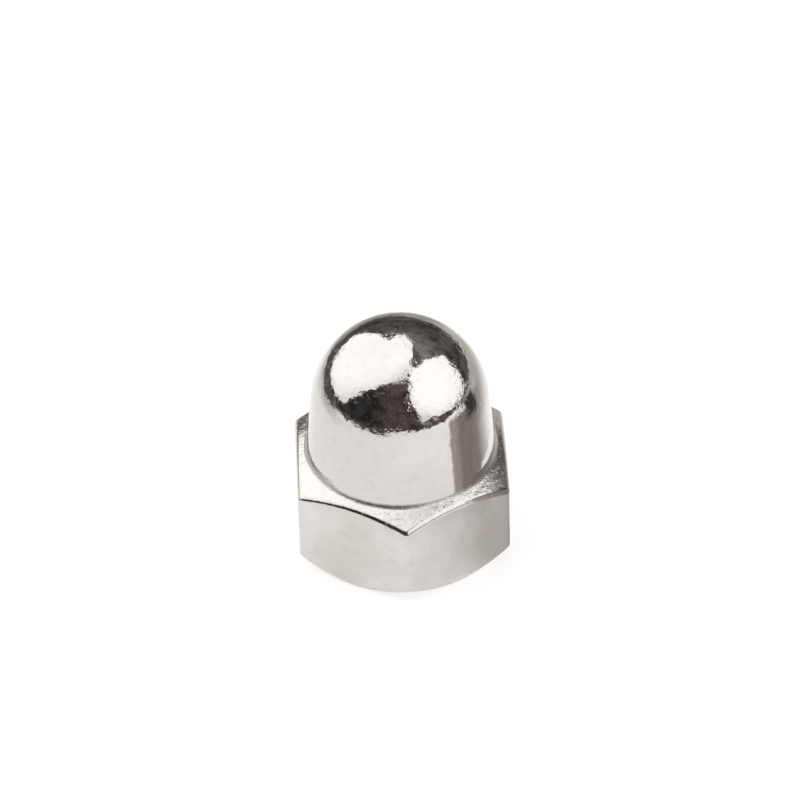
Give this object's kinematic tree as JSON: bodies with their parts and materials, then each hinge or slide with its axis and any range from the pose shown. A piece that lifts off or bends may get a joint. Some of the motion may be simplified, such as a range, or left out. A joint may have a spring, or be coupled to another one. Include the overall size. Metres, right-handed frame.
{
  "type": "cap nut",
  "caption": "Domed cap nut: a hexagon chamfered on both ends, with a blind tapped hole closed by a tapered round dome, in bright plated metal.",
  "frame": {"origin": "centre of the ring-shaped seat face, on the axis of the thread", "axes": "+Z along the axis from the seat face to the top of the dome; -Y through one corner of the hexagon; X across the flats"},
  "size_m": [0.01, 0.0114, 0.012],
  "materials": {
    "plated_metal": "bright nickel plate, polished"
  },
  "bodies": {
    "root": {"cap_nut": "plated_metal"}
  },
  "joints": []
}
